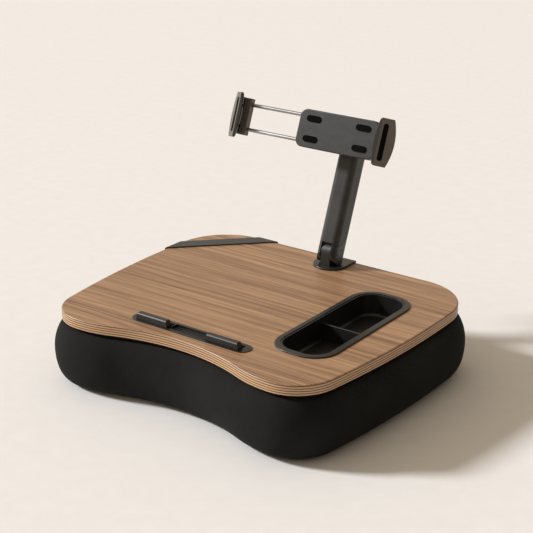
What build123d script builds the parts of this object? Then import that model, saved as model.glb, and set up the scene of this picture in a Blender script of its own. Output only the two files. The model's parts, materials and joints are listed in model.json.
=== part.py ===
from build123d import *
import os
from math import atan2, cos, radians, sin, sqrt

# A lap desk: a wooden board on a soft cushion, with a drop-in tray, two fold-down stops, an elastic corner
# strap and a leaning arm that carries a tablet clamp. Millimetres. The origin is the middle of the cushion's
# flat underside, +X is the user's right, +Y points away from the user and +Z is up.

# Board
board_width = 510
board_depth = 430
board_thickness = 15
board_edge_round = 2
side_radius = 1500
widest_place = 70
rear_corner_radius = 90
front_corner_radius = 66
lobe_radius = 170
belly_depth = 31

# Cushion, its cover and the panel that closes it
cushion_height = 100
cushion_bulge = 14.5
cover_thickness = 1.5
panel_thickness = 4
rim_inset = 5
cushion_height_shares = [0, 0.03, 0.11, 0.26, 0.47, 0.68, 0.85, 1]
cushion_bulge_shares = [-1.9, -0.85, 0.0, 0.68, 1.0, 0.9, 0.45]

# Drop-in tray
tray_side_margin = 104
tray_place_y = 0
tray_opening_width = 76
tray_opening_depth = 237
tray_corner_radius = 28
tray_wall = 2
tray_lip_reach = 9
tray_lip_height = 2.2
tray_lip_round = 1.4
tray_step_reach = 3
tray_step_depth = 1
tray_depth = 35
tray_floor_round = 5
divider_thickness = 2.5
divider_drop = 8
divider_rib_width = 2
divider_rib_reach = 2

# Stop strip at the front edge
strip_length = 210
strip_width = 28
strip_place_x = -7
strip_place_y = -154
strip_flange = 1
strip_overhang = 0.8
strip_floor = 1.2
strip_wall = 1.2
stop_length = 57
stop_inner_end = 35
stop_end_draft = 3.5
stop_front_reach = 4
stop_rear_reach = 7
stop_height = 10.5
stop_top_thickness = 9.5
stop_bevel_width = 1.6
stop_bevel_drop = 1.6
stop_foot = 2
stop_edge_round = 1.2
stop_swing_room = 0.8
stop_pin_radius = 1.25
stop_pin_seat = 5
finger_recess_depth = 3
finger_recess_width = 17
finger_recess_margin = 2.5
finger_recess_corner = 2
finger_rim_width = 1.2
finger_rim_height = 0.6
finger_rib_count = 3
finger_rib_width = 1.2
finger_rib_height = 1

# Elastic corner strap
strap_width = 26
strap_thickness = 1.5
strap_corner_cut = 79.3
strap_tail = 34
anchor_plate_length = 24
anchor_plate_width = 14
anchor_plate_thickness = 1.4
anchor_inset = 18

# Arm foot and pivot
foot_place_x = 4
foot_half_width = 28
foot_plate_thickness = 3.5
foot_edge_round = 1
pivot_edge_gap = 31
pivot_height = 22
tongue_width = 17
tongue_radius = 17
ear_radius = 18
pivot_bolt_radius = 4
pivot_head_radius = 7
pivot_head_height = 4
washer_thickness = 0.8
washer_radius = 14

# Arm
arm_lean = 21
arm_length = 182
fork_slot_room = 4
skirt_top = 48
skirt_front = 14
skirt_points = ((-10, 10), (4, 22), (12, 45))
skirt_rear = 74
yoke_height = 20
bar_width = 14
bar_depth = 14
cover_width = 35
cover_depth = 36
cover_corner = 10
cover_wall = 2.5
cover_top_gap = 19
cover_seam = 14.5
cover_boss_radius = 4
cover_screw_shares = (0.3736, 0.7692)

# Tilting head
knuckle_radius = 11
knuckle_width = 14
head_ear_width = 6
head_bolt_radius = 3
head_nut_radius = 5
head_nut_height = 2.5
neck_block_depth = 22
neck_boss_radius = 17
swivel_radius = 7
retainer_radius = 11
retainer_thickness = 1.5
retainer_pocket_depth = 4.5

# Tablet holder
device_front = 68
device_thickness = 8.5
device_pad = 1.5
holder_left = -70
holder_right = 75
holder_height = 60
holder_corner = 12
holder_edge_round = 1.5
front_plate_thickness = 4
holder_body_thickness = 10
rod_radius = 3
rod_spread = 20
rod_inner_end = -30
rod_bore_end = 62
holder_pad_length = 26
holder_pad_width = 10
holder_pad_inset = 14
holder_screw_inset = 12
holder_screw_spread = 26.4

# Jaws
right_jaw_face = 83
left_jaw_face = -179
jaw_height = 73
jaw_wall = 6
jaw_lip_reach = 5.3
jaw_lip_end_reach = 0.9
jaw_lip_height = 70
jaw_lip_thickness = 4
jaw_round = 1.6
jaw_pad_thickness = 1.2
jaw_pad_height = 54
wing_start = 2
wing_out = 21.5
wing_back = 15.5
wing_thickness = 4
wing_round = 0.8
wing_end_share = 0.74
grip_length = 57
grip_width = 8
grip_depth = 1.5
grip_proud = 0.4
grip_place_share = 0.32

# Fasteners: head radius, head height, shank radius, shank length
panel_screw_size = (4, 1.8, 1.75, 12)
strap_screw_size = (3.5, 1.3, 1.5, 9)
frame_screw_size = (3, 1.8, 1.25, 9)
foot_screw_size = (3.8, 3, 2, 20)
arm_screw_size = (2.8, 2, 1.25, 26)
swivel_screw_size = (5, 2, 2, 10)
plate_screw_size = (2.6, 2, 1.25, 10.5)
jaw_screw_size = (3, 2, 1.5, 16)
nut_bore_share = 0.8
drive_share = 0.5
drive_depth_share = 0.6

# Clearances
fit_clearance = 0.2
running_clearance = 0.05
soft_clearance = 0.3
seat_clearance = 0.5
overrun = 5

# Levels and places that follow from the sizes above
board_bottom = cushion_height
board_top = board_bottom + board_thickness
side_centre = Vector(board_width / 2 - side_radius, widest_place)
front_edge = -board_depth / 2
rear_edge = board_depth / 2
pivot_place_y = rear_edge - pivot_edge_gap
tray_place_x = board_width / 2 - tray_side_margin
strap_line_offset = (board_width + board_depth) / (2 * sqrt(2)) - strap_corner_cut
fork_width = cover_width
cover_top = arm_length - cover_top_gap
cover_screw_places = [share * arm_length for share in cover_screw_shares]
cushion_top = cushion_height - soft_clearance
panel_bottom = cushion_height - panel_thickness

parts_made = {}
up = (Align.CENTER, Align.CENTER, Align.MIN)
down = (Align.CENTER, Align.CENTER, Align.MAX)
backward = (Align.CENTER, Align.MIN, Align.MIN)
forward = (Align.CENTER, Align.MAX, Align.CENTER)
forward_right = (Align.MIN, Align.MAX, Align.CENTER)
rightward = (Align.MIN, Align.CENTER, Align.CENTER)


def corner_centre(radius, level):
    reach = sqrt((side_radius - radius) ** 2 - (level - widest_place) ** 2)
    return Vector(side_centre.X + reach, level)


rear_centre = corner_centre(rear_corner_radius, rear_edge - rear_corner_radius)
front_centre = corner_centre(front_corner_radius, front_edge + front_corner_radius)
lobe_centre = Vector(front_centre.X, front_edge + lobe_radius)
belly_radius = (front_centre.X**2 + belly_depth**2) / (2 * belly_depth) - lobe_radius
belly_centre = Vector(0, front_edge + belly_depth - belly_radius)


def angle_between(start, end):
    return atan2(end.Y - start.Y, end.X - start.X)


def arc_point(centre, radius, angle, side):
    return (side * (centre.X + radius * cos(angle)), centre.Y + radius * sin(angle))


def outline_arc(centre, radius, first, last, side):
    middle = (first + last) / 2
    return ThreePointArc(*[arc_point(centre, radius, angle, side) for angle in (first, middle, last)])


def desk_outline(grow):
    quarter = radians(90)
    rear_turn = angle_between(side_centre, rear_centre)
    front_turn = angle_between(side_centre, front_centre)
    lobe_turn = angle_between(lobe_centre, belly_centre)
    belly_turn = angle_between(belly_centre, lobe_centre)
    halves = {}
    for side in (1, -1):
        halves[side] = [
            outline_arc(rear_centre, rear_corner_radius + grow, rear_turn, quarter, side),
            outline_arc(side_centre, side_radius + grow, front_turn, rear_turn, side),
            outline_arc(front_centre, front_corner_radius + grow, -quarter, front_turn, side),
            outline_arc(lobe_centre, lobe_radius + grow, lobe_turn, -quarter, side),
        ]
    rear_line = Line((-rear_centre.X, rear_edge + grow), (rear_centre.X, rear_edge + grow))
    belly = outline_arc(belly_centre, belly_radius - grow, belly_turn, radians(180) - belly_turn, 1)
    return Face(Wire([rear_line, *halves[1], belly, *reversed(halves[-1])]))


def slab(grow, low, high):
    return extrude(Pos(0, 0, low) * desk_outline(grow), high - low, dir=(0, 0, 1))


def screw(size, room=0, lead=0):
    head_radius, head_height, shank_radius, shank_length = size
    shank = Cylinder(shank_radius + room, shank_length + room, align=up)
    head = Cylinder(head_radius + room, head_height + lead, align=down)
    solid = shank + head
    if lead:
        return solid
    drive = extrude(RegularPolygon(head_radius * drive_share, 6), head_height * drive_depth_share)
    return solid - Pos(0, 0, -head_height) * drive


def screw_set(size, places):
    return Part() + [place * screw(size) for place in places]


def screw_holes(size, places):
    return Part() + [place * screw(size, fit_clearance, overrun) for place in places]


def side_profile(points, width):
    profile = make_face(Polyline(*points, close=True))
    return extrude(Plane.YZ * profile, width / 2, both=True)


def rod_along_x(radius, length):
    return Rot(0, 90, 0) * Cylinder(radius, length)


def rod_along_y(radius, length):
    return Rot(90, 0, 0) * Cylinder(radius, length)


# Cushion


def cushion_form(inset, bottom):
    bulges = [share * cushion_bulge for share in cushion_bulge_shares] + [-rim_inset]
    heights = [bottom + share * (cushion_top - bottom) for share in cushion_height_shares]
    sections = [Pos(0, 0, height) * desk_outline(bulge - inset) for height, bulge in zip(heights, bulges)]
    return loft(sections)


tub_width = tray_opening_width + 2 * tray_wall
tub_depth = tray_opening_depth + 2 * tray_wall
tray_bottom = board_top - tray_depth
tray_centre = Pos(tray_place_x, tray_place_y, 0)


def tray_block(grow, low, high):
    corner = tray_corner_radius + tray_wall + grow
    shape = RectangleRounded(tub_width + 2 * grow, tub_depth + 2 * grow, corner)
    return tray_centre * Pos(0, 0, low) * extrude(shape, high - low)


tray_room = tray_block(seat_clearance, tray_bottom - seat_clearance, board_top + overrun)

parts_made["cushion_cover"] = cushion_form(0, 0) - cushion_form(cover_thickness, cover_thickness)

foam_inset = cover_thickness + soft_clearance
foam_top = panel_bottom - soft_clearance
foam_block = cushion_form(foam_inset, foam_inset)
parts_made["cushion_foam"] = foam_block - slab(cushion_bulge, foam_top, cushion_height) - tray_room

panel_inset = rim_inset + cover_thickness + seat_clearance
panel_screw_inset = panel_inset + rear_corner_radius / 4
panel_screw_level = panel_bottom + panel_screw_size[1]
panel_screw_spots = [
    (board_width / 2 - panel_screw_inset, widest_place),
    (rear_centre.X / 2, rear_edge - panel_screw_inset),
    (lobe_centre.X, front_edge + panel_screw_inset),
    (stop_inner_end, strip_place_y + strip_width),
]
panel_screw_places = []
for across, along in panel_screw_spots:
    panel_screw_places += [Pos(side * across, along, panel_screw_level) for side in (1, -1)]
parts_made["panel_screws"] = screw_set(panel_screw_size, panel_screw_places)
panel_holes = screw_holes(panel_screw_size, panel_screw_places)
parts_made["cushion_panel"] = slab(-panel_inset, panel_bottom, board_bottom) - tray_room - panel_holes


# Elastic strap across the rear left corner: over the top, round both edges and into slots underneath

anchor_level = board_bottom + strap_screw_size[1] + running_clearance
tail_bottom = anchor_level + anchor_plate_thickness
tail_top = tail_bottom + strap_thickness
strap_turn = Pos(-strap_line_offset / sqrt(2), strap_line_offset / sqrt(2), 0) * Rot(0, 0, 45)


def strap_band(width, low, high):
    return Pos(0, 0, low) * strap_turn * Box(board_width, width, high - low, align=up)


def edge_ring(grow, tail, low, high):
    return slab(grow, low, high) - slab(-tail, low, high)


strap_outer = soft_clearance + strap_thickness
strap_shell = slab(strap_outer, tail_bottom, board_top + strap_outer)
strap_shell -= slab(soft_clearance, tail_top, board_top + soft_clearance)
strap_shell -= slab(-strap_tail, tail_bottom, tail_top)
parts_made["elastic_strap"] = strap_shell & strap_band(strap_width, board_bottom, board_top + overrun)

slot_top = tail_top + soft_clearance
strap_slot = edge_ring(overrun, strap_tail + seat_clearance, board_bottom - overrun, slot_top)
strap_slot &= strap_band(strap_width + 2 * seat_clearance, board_bottom - overrun, board_top)

# The band's middle line meets the left edge and the rear edge near these two places.
anchor_run = strap_line_offset * sqrt(2)
anchor_x = -board_width / 2 + anchor_inset
anchor_y = rear_edge - anchor_inset
anchor_left = Pos(anchor_x, anchor_x + anchor_run, anchor_level)
anchor_rear = Pos(anchor_y - anchor_run, anchor_y, anchor_level)
anchor_places = [anchor_left * Rot(0, 0, -45), anchor_rear * Rot(0, 0, -45)]
anchor_plate = extrude(SlotOverall(anchor_plate_length, anchor_plate_width), anchor_plate_thickness)
strap_holes = screw_holes(strap_screw_size, anchor_places)
plates = Part() + [place * anchor_plate for place in anchor_places]
parts_made["strap_anchor_plates"] = plates - strap_holes
parts_made["elastic_strap"] -= strap_holes
parts_made["strap_screws"] = screw_set(strap_screw_size, anchor_places)


# Stop strip with its two fold-down stops

strip_top = board_top + strip_flange
pocket_front = strip_place_y - strip_width / 2 + strip_overhang + strip_wall
stop_pivot_y = pocket_front + stop_swing_room + stop_front_reach
stop_pivot_z = strip_top - stop_front_reach
stop_reach = stop_height + stop_front_reach
pocket_depth = stop_front_reach + stop_rear_reach + stop_swing_room
strip_bottom = strip_top - pocket_depth - strip_floor
stop_centre = stop_inner_end + stop_length / 2
stop_places = {side: strip_place_x + side * stop_centre for side in (1, -1)}
pocket_length = stop_length + 2 * fit_clearance
pocket_rear = stop_pivot_y + stop_reach + stop_swing_room
stop_pin_length = pocket_length + 2 * stop_pin_seat


def strip_slab(inset, low, high):
    shape = SlotOverall(strip_length - 2 * inset, strip_width - 2 * inset)
    return Pos(strip_place_x, strip_place_y, low) * extrude(shape, high - low)


strip_recess = strip_slab(strip_overhang - fit_clearance, strip_bottom, board_top + overrun)
frame_screw_level = board_bottom + frame_screw_size[1]
frame_screw_places = [
    Pos(strip_place_x + side * stop_inner_end / 2, strip_place_y, frame_screw_level) for side in (1, -1)
]
frame_screw_holes = screw_holes(frame_screw_size, frame_screw_places)


def stop_frame():
    frame = strip_slab(0, board_top, strip_top) + strip_slab(strip_overhang, strip_bottom, strip_top)
    pocket_middle = (pocket_front + pocket_rear) / 2
    for side in (1, -1):
        pocket = Box(pocket_length, pocket_rear - pocket_front, pocket_depth + overrun, align=up)
        frame -= Pos(stop_places[side], pocket_middle, strip_top - pocket_depth) * pocket
        pin_hole = rod_along_x(stop_pin_radius + running_clearance, stop_pin_length + 2 * running_clearance)
        frame -= Pos(stop_places[side], stop_pivot_y, stop_pivot_z) * pin_hole
    recess_length = 2 * (stop_inner_end - finger_recess_margin)
    recess = RectangleRounded(recess_length, finger_recess_width, finger_recess_corner)
    recess_middle = Pos(strip_place_x, strip_place_y, strip_top)
    frame += recess_middle * extrude(offset(recess, finger_rim_width), finger_rim_height)
    frame -= recess_middle * extrude(recess, finger_recess_depth, both=True)
    rib_step = finger_recess_width / (finger_rib_count + 1)
    for number in range(finger_rib_count):
        rib = Box(recess_length - 2 * rib_step, finger_rib_width, finger_rib_height, align=up)
        rib_y = (number - (finger_rib_count - 1) / 2) * rib_step
        frame += recess_middle * Pos(0, rib_y, -finger_recess_depth) * rib
    return frame - frame_screw_holes


def folding_stop(side):
    rear_slope = stop_top_thickness - stop_front_reach
    block = side_profile(
        [
            (-stop_front_reach, -stop_foot),
            (-stop_front_reach, stop_reach - stop_bevel_drop),
            (stop_bevel_width - stop_front_reach, stop_reach),
            (rear_slope, stop_reach),
            (stop_rear_reach, stop_front_reach + stop_foot),
            (stop_rear_reach, -stop_foot),
        ],
        stop_length,
    )
    top_edges = block.edges().filter_by(Axis.X).group_by(Axis.Z)[-1]
    block = fillet(top_edges, stop_edge_round)
    for end in (1, -1):
        corner = (end * stop_length / 2, stop_front_reach + stop_foot)
        shoulder = (end * (stop_length / 2 - stop_end_draft), stop_reach + overrun)
        outside = (end * stop_length / 2, stop_reach + overrun)
        waste = make_face(Polyline(corner, shoulder, outside, close=True))
        block -= extrude(Plane.XZ * waste, stop_reach, both=True)
    block -= rod_along_x(stop_pin_radius + running_clearance, stop_length + overrun)
    return Pos(stop_places[side], stop_pivot_y, stop_pivot_z) * block


parts_made["stop_frame"] = stop_frame()
parts_made["stop_frame_screws"] = screw_set(frame_screw_size, frame_screw_places)
parts_made["left_stop"] = folding_stop(-1)
parts_made["right_stop"] = folding_stop(1)
stop_pin = rod_along_x(stop_pin_radius, stop_pin_length)
parts_made["stop_pins"] = Part() + [
    Pos(stop_places[side], stop_pivot_y, stop_pivot_z) * stop_pin for side in (1, -1)
]


# Drop-in tray and its divider

lip_top = board_top + tray_lip_height
tray_floor = tray_bottom + tray_wall
divider_top = board_top - divider_drop
divider_gap = divider_thickness / 2 + fit_clearance


def organiser_tray():
    lip = tray_block(tray_lip_reach, board_top, lip_top)
    lip = fillet(lip.edges().group_by(Axis.Z)[-1], tray_lip_round)
    tub = lip + tray_block(0, tray_bottom, lip_top - tray_lip_round)
    hollow = tray_block(-tray_wall, tray_floor, lip_top + overrun)
    hollow = fillet(hollow.edges().group_by(Axis.Z)[0], tray_floor_round)
    tub -= hollow
    tub -= tray_block(tray_step_reach - tray_wall, lip_top - tray_step_depth, lip_top + overrun)
    rib_height = divider_top - tray_floor
    for side in (1, -1):
        rib_x = tray_place_x + side * (tray_opening_width - divider_rib_reach) / 2
        for end in (1, -1):
            rib_y = tray_place_y + end * (divider_gap + divider_rib_width / 2)
            rib = Box(divider_rib_reach, divider_rib_width, rib_height, align=up)
            tub += Pos(rib_x, rib_y, tray_floor) * rib
    return tub


def tray_divider():
    width = tray_opening_width - 2 * fit_clearance
    plate = Box(width, divider_thickness, divider_top - tray_floor - fit_clearance, align=up)
    corners = plate.edges().filter_by(Axis.Y).group_by(Axis.Z)[0]
    plate = fillet(corners, tray_floor_round + fit_clearance)
    top_edges = plate.edges().filter_by(Axis.X).group_by(Axis.Z)[-1]
    plate = fillet(top_edges, divider_thickness / 3)
    return Pos(tray_place_x, tray_place_y, tray_floor + fit_clearance) * plate


parts_made["organiser_tray"] = organiser_tray()
parts_made["tray_divider"] = tray_divider()


# Foot of the arm

pivot_z = board_top + pivot_height
foot_screw_level = board_bottom + foot_screw_size[1]
foot_screw_places = []
for side in (1, -1):
    for end in (1, -1):
        screw_x = foot_place_x + side * tongue_width / 4
        screw_y = pivot_place_y + end * (tongue_radius - foot_screw_size[0] * 2)
        foot_screw_places.append(Pos(screw_x, screw_y, foot_screw_level))
foot_screw_holes = screw_holes(foot_screw_size, foot_screw_places)


def arm_foot():
    plate_length = rear_edge - pivot_place_y
    plate = Cylinder(foot_half_width, foot_plate_thickness, align=up)
    rear_part = Box(2 * foot_half_width, plate_length, foot_plate_thickness, align=backward)
    plate += rear_part
    plate = fillet(plate.edges().group_by(Axis.Z)[-1], foot_edge_round)
    tongue = Pos(0, 0, pivot_height) * rod_along_x(tongue_radius, tongue_width)
    tongue += Box(tongue_width, 2 * tongue_radius, pivot_height, align=up)
    bolt_bore = rod_along_x(pivot_bolt_radius + running_clearance, fork_width)
    foot = plate + tongue - Pos(0, 0, pivot_height) * bolt_bore
    return Pos(foot_place_x, pivot_place_y, board_top) * foot - foot_screw_holes


parts_made["arm_foot"] = arm_foot()
parts_made["foot_screws"] = screw_set(foot_screw_size, foot_screw_places)


# Arm, drawn upright about its pivot and then leaned back

arm_place = Pos(foot_place_x, pivot_place_y, pivot_z) * Rot(-arm_lean, 0, 0)
fork_slot_width = tongue_width + 2 * (washer_thickness + 2 * running_clearance)
fork_slot_top = tongue_radius + fork_slot_room
head_place = arm_place * Pos(0, 0, arm_length)
bolt_seat = fork_width / 2 - pivot_head_height
head_fork_width = knuckle_width + 2 * (head_ear_width + washer_thickness + 2 * running_clearance)
head_bolt_seat = head_fork_width / 2 - head_nut_height
arm_screw_seat = cover_depth / 2 - arm_screw_size[1]
arm_screw_places = [Pos(0, arm_screw_seat, level) * Rot(90, 0, 0) for level in cover_screw_places]
arm_screw_holes = screw_holes(arm_screw_size, arm_screw_places)


def cover_slab(inset, low, high):
    shape = RectangleRounded(cover_width - 2 * inset, cover_depth - 2 * inset, cover_corner - inset)
    return Pos(0, 0, low) * extrude(shape, high - low)


def arm_outer():
    side = rod_along_x(ear_radius, cover_width) + Box(cover_width, cover_depth, cover_top, align=up)
    return side & cover_slab(0, -ear_radius, cover_top)


def front_region():
    start = (-cover_depth / 2, skirt_front)
    seam_end = (cover_seam, skirt_rear)
    seam = Spline(start, *skirt_points, seam_end)
    outside = -2 * cover_depth
    corners = [seam_end, (cover_seam, arm_length), (outside, arm_length), (outside, skirt_front), start]
    face = make_face(Curve() + [seam, Polyline(*corners)])
    return extrude(Plane.YZ * face, cover_width, both=True)


def arm_frame():
    outer = arm_outer()
    fork = outer & cover_slab(-overrun, -ear_radius, skirt_top)
    fork -= front_region()
    yoke_inset = cover_wall + soft_clearance
    fork += cover_slab(yoke_inset, fork_slot_top, fork_slot_top + yoke_height)
    fork -= Box(fork_slot_width, 2 * cover_depth, 2 * fork_slot_top)
    bar_start = fork_slot_top + yoke_height / 2
    bar = Box(bar_width, bar_depth, arm_length - bar_start, align=up)
    frame = fork + Pos(0, 0, bar_start) * bar
    knuckle_room = Box(bar_width + overrun, bar_depth + overrun, 2 * knuckle_radius, align=up)
    frame -= Pos(0, 0, arm_length - knuckle_radius) * knuckle_room
    neck = Box(knuckle_width, bar_depth, 2 * knuckle_radius, align=down)
    frame += Pos(0, 0, arm_length) * (rod_along_x(knuckle_radius, knuckle_width) + neck)
    frame -= rod_along_x(pivot_bolt_radius + running_clearance, fork_width + overrun)
    for side in (1, -1):
        seat = rod_along_x(pivot_head_radius + fit_clearance, 2 * pivot_head_height)
        frame -= Pos(side * fork_width / 2, 0, 0) * seat
    head_bore = rod_along_x(head_bolt_radius + running_clearance, knuckle_width + overrun)
    frame -= Pos(0, 0, arm_length) * head_bore
    return frame - arm_screw_holes


def arm_cover(front):
    shell = arm_outer()
    shell = fillet(shell.edges().group_by(Axis.Z)[-1], cover_wall)
    shell -= cover_slab(cover_wall, -ear_radius, cover_top - cover_wall)
    boss_length = (cover_depth - bar_depth) / 2 - cover_wall / 2 - fit_clearance
    for level in cover_screw_places:
        for end in (1, -1):
            boss_y = end * (bar_depth / 2 + fit_clearance + boss_length / 2)
            shell += Pos(0, boss_y, level) * rod_along_y(cover_boss_radius, boss_length)
    bar_room = Box(bar_width + 2 * fit_clearance, bar_depth + 2 * fit_clearance, arm_length, align=up)
    shell -= bar_room
    shell -= arm_screw_holes
    if front:
        return shell & Pos(0, -soft_clearance, 2 * soft_clearance) * front_region()
    above = cover_slab(-overrun, skirt_top + soft_clearance, arm_length)
    return (shell - front_region()) & above


def cross_bolt(radius, head_radius, head_height, seat):
    thread = head_height * nut_bore_share
    shank = Pos(thread / 2, 0, 0) * rod_along_x(radius, 2 * seat + thread)
    head = Pos(-seat - head_height / 2, 0, 0) * rod_along_x(head_radius, head_height)
    drive_depth = head_height * drive_depth_share
    drive = Plane.YZ * extrude(RegularPolygon(head_radius * drive_share, 6), drive_depth)
    return shank + head - Pos(-seat - head_height, 0, 0) * drive


def cross_nut(bolt_radius, nut_radius, nut_height, seat):
    nut = Plane.YZ * extrude(RegularPolygon(nut_radius, 6), nut_height)
    nut -= Plane.YZ * extrude(Circle(bolt_radius + running_clearance), nut_height * nut_bore_share)
    return Pos(seat, 0, 0) * nut


def washer_pair(bore, radius, inner_width):
    ring = Plane.YZ * extrude(Circle(radius) - Circle(bore + running_clearance), washer_thickness)
    left = Pos(-inner_width / 2 - running_clearance - washer_thickness, 0, 0) * ring
    return Part() + [left, Pos(inner_width / 2 + running_clearance, 0, 0) * ring]


parts_made["arm_frame"] = arm_place * arm_frame()
parts_made["arm_front_cover"] = arm_place * arm_cover(True)
parts_made["arm_rear_cover"] = arm_place * arm_cover(False)
parts_made["arm_cover_screws"] = arm_place * screw_set(arm_screw_size, arm_screw_places)
pivot_bolt = cross_bolt(pivot_bolt_radius, pivot_head_radius, pivot_head_height, bolt_seat)
parts_made["arm_pivot_bolt"] = arm_place * pivot_bolt
pivot_nut = cross_nut(pivot_bolt_radius, pivot_head_radius, pivot_head_height, bolt_seat)
parts_made["arm_pivot_nut"] = arm_place * pivot_nut
parts_made["arm_washers"] = arm_place * washer_pair(pivot_bolt_radius, washer_radius, tongue_width)


# Tilting head with its swivel, drawn about the head pivot with the device side at -Y

holder_back = device_front - device_thickness - device_pad - front_plate_thickness - holder_body_thickness
holder_middle = holder_back + holder_body_thickness / 2
plate_back = holder_back + holder_body_thickness
plate_front = plate_back + front_plate_thickness
swivel_length = holder_body_thickness - retainer_pocket_depth + running_clearance
shaft_end = holder_back + swivel_length
swivel_screw_place = Pos(0, -shaft_end - retainer_thickness, 0) * Rot(-90, 0, 0)


def tilt_neck():
    ears = rod_along_x(knuckle_radius, head_fork_width)
    ear_front = knuckle_radius + 2 * running_clearance
    ears += Pos(0, -ear_front, 0) * Box(head_fork_width, 2 * ear_front, 2 * knuckle_radius)
    slot_width_head = head_fork_width - 2 * head_ear_width
    ears -= Box(slot_width_head, 2 * (knuckle_radius + fit_clearance), 4 * knuckle_radius)
    block_start = knuckle_radius + fit_clearance
    block = Box(head_fork_width, neck_block_depth - block_start, 2 * knuckle_radius, align=forward)
    neck = ears + Pos(0, -block_start, 0) * block
    boss_length = holder_back - soft_clearance - neck_block_depth
    neck += Pos(0, -neck_block_depth - boss_length / 2, 0) * rod_along_y(neck_boss_radius, boss_length)
    shaft = rod_along_y(swivel_radius, shaft_end - neck_block_depth)
    neck += Pos(0, -(neck_block_depth + shaft_end) / 2, 0) * shaft
    neck -= rod_along_x(head_bolt_radius + running_clearance, 2 * head_fork_width)
    for side in (1, -1):
        seat = rod_along_x(head_nut_radius + fit_clearance, 2 * head_nut_height)
        neck -= Pos(side * head_fork_width / 2, 0, 0) * seat
    return neck - swivel_screw_place * screw(swivel_screw_size, fit_clearance, overrun)


def swivel_retainer():
    bore = swivel_screw_size[2] + fit_clearance
    ring = extrude(Circle(retainer_radius) - Circle(bore), retainer_thickness)
    return Pos(0, -shaft_end, 0) * Rot(90, 0, 0) * ring


parts_made["tilt_neck"] = head_place * tilt_neck()
head_bolt = cross_bolt(head_bolt_radius, head_nut_radius, head_nut_height, head_bolt_seat)
head_nut = cross_nut(head_bolt_radius, head_nut_radius, head_nut_height, head_bolt_seat)
parts_made["head_pivot_bolt"] = head_place * head_bolt
parts_made["head_pivot_nut"] = head_place * head_nut
parts_made["head_washers"] = head_place * washer_pair(head_bolt_radius, knuckle_radius, knuckle_width)
parts_made["swivel_retainer"] = head_place * swivel_retainer()
parts_made["swivel_screw"] = head_place * swivel_screw_place * screw(swivel_screw_size)


# Holder body and its front plate

holder_length = holder_right - holder_left
holder_centre = (holder_right + holder_left) / 2 - foot_place_x
plate_screw_level = -holder_back - plate_screw_size[1]
plate_screw_places = []
for screw_x in (-holder_length / 2 + holder_screw_inset, holder_length / 2 - holder_screw_inset):
    for end in (1, -1):
        screw_spot = Pos(holder_centre + screw_x, plate_screw_level, end * holder_screw_spread)
        plate_screw_places.append(screw_spot * Rot(90, 0, 0))
plate_screw_holes = screw_holes(plate_screw_size, plate_screw_places)
jaw_outer = jaw_pad_thickness + jaw_wall
jaw_screw_seat_right = right_jaw_face + jaw_outer - jaw_screw_size[1] - foot_place_x
jaw_screw_seat_left = left_jaw_face - jaw_outer + jaw_screw_size[1] - foot_place_x
right_screw_places = []
left_screw_places = []
for end in (1, -1):
    right_spot = Pos(jaw_screw_seat_right, -holder_middle, end * rod_spread)
    left_spot = Pos(jaw_screw_seat_left, -holder_middle, end * rod_spread)
    right_screw_places.append(right_spot * Rot(0, -90, 0))
    left_screw_places.append(left_spot * Rot(0, 90, 0))
right_screw_holes = screw_holes(jaw_screw_size, right_screw_places)
left_screw_holes = screw_holes(jaw_screw_size, left_screw_places)


def holder_slab(near, far):
    shape = RectangleRounded(holder_length, holder_height, holder_corner)
    return Pos(holder_centre, -near, 0) * Rot(90, 0, 0) * extrude(shape, far - near)


def rod_holes(inner_end, outer_end, room):
    length = inner_end - outer_end
    middle = (inner_end + outer_end) / 2 - foot_place_x
    rod = rod_along_x(rod_radius + room, length)
    return Part() + [Pos(middle, -holder_middle, end * rod_spread) * rod for end in (1, -1)]


def holder_body():
    body = holder_slab(holder_back, plate_back)
    body = fillet(body.edges().group_by(Axis.Y)[-1], holder_edge_round)
    swivel_bore = rod_along_y(swivel_radius + running_clearance, 2 * holder_body_thickness)
    body -= Pos(0, -holder_middle, 0) * swivel_bore
    pocket_y = plate_back - retainer_pocket_depth / 2
    body -= Pos(0, -pocket_y, 0) * rod_along_y(retainer_radius + fit_clearance, retainer_pocket_depth)
    body -= rod_holes(rod_bore_end, holder_left - overrun, running_clearance)
    return body - right_screw_holes - plate_screw_holes


def front_plate():
    plate = holder_slab(plate_back, plate_front)
    plate = fillet(plate.edges().group_by(Axis.Y)[0], holder_edge_round)
    return plate - plate_screw_holes


def holder_pads():
    pads = []
    for side in (1, -1):
        for end in (1, -1):
            pad_x = holder_centre + side * (holder_length / 2 - holder_pad_inset - holder_pad_length / 2)
            pad_z = end * (holder_height / 2 - holder_pad_inset)
            pad = Rot(90, 0, 0) * extrude(SlotOverall(holder_pad_length, holder_pad_width), device_pad)
            pads.append(Pos(pad_x, -plate_front, pad_z) * pad)
    return Part() + pads


parts_made["holder_body"] = head_place * holder_body()
parts_made["holder_front_plate"] = head_place * front_plate()
parts_made["holder_pads"] = head_place * holder_pads()
parts_made["holder_screws"] = head_place * screw_set(plate_screw_size, plate_screw_places)


# Jaws: a hook round the device's edge with a flared wing outside it

lip_back = device_front + soft_clearance
lip_front = lip_back + jaw_lip_thickness


def jaw_on_right():
    inner = jaw_pad_thickness
    leg = right_jaw_face - holder_right
    wall = Box(jaw_wall, lip_back - holder_back, holder_height, align=forward_right)
    jaw = Pos(inner, -holder_back, 0) * wall
    block = Box(leg + inner, holder_body_thickness, holder_height, align=forward_right)
    return jaw + Pos(-leg, -holder_back, 0) * block


def wing_plane():
    along = (wing_out, wing_back, 0)
    facing = (wing_back, -wing_out, 0)
    return Plane(origin=(wing_start, -lip_front, 0), x_dir=along, z_dir=facing)


wing_length = sqrt(wing_out**2 + wing_back**2)
grip_centre = grip_place_share * wing_length


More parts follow.
